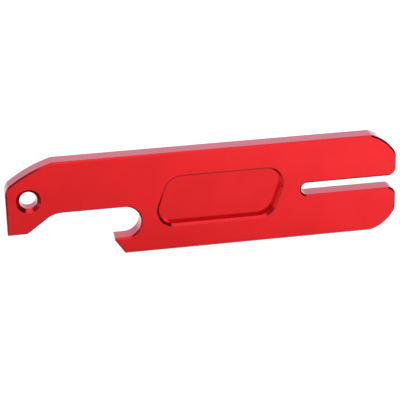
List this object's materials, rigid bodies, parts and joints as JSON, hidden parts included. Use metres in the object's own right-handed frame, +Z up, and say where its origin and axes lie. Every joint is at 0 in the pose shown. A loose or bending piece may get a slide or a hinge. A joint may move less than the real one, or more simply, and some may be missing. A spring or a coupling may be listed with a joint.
{
  "type": "flat slotted hand tool with bottle opener",
  "caption": "Flat anodised aluminium plate tool with an open-ended slot, a hooked cap notch, a recessed panel and a countersunk hanging hole.",
  "frame": {"origin": "middle of the tool's box at the level of its long lower edge, halfway through its thickness", "axes": "+X along the tool from the hanging hole to the open slot, +Z up across its width, recessed panel facing -Y"},
  "size_m": [0.13, 0.0062, 0.034],
  "materials": {
    "red_anodised_aluminium": "satin red anodised, machined and bead blasted"
  },
  "bodies": {
    "root": {"tool_plate": "red_anodised_aluminium"}
  },
  "joints": []
}
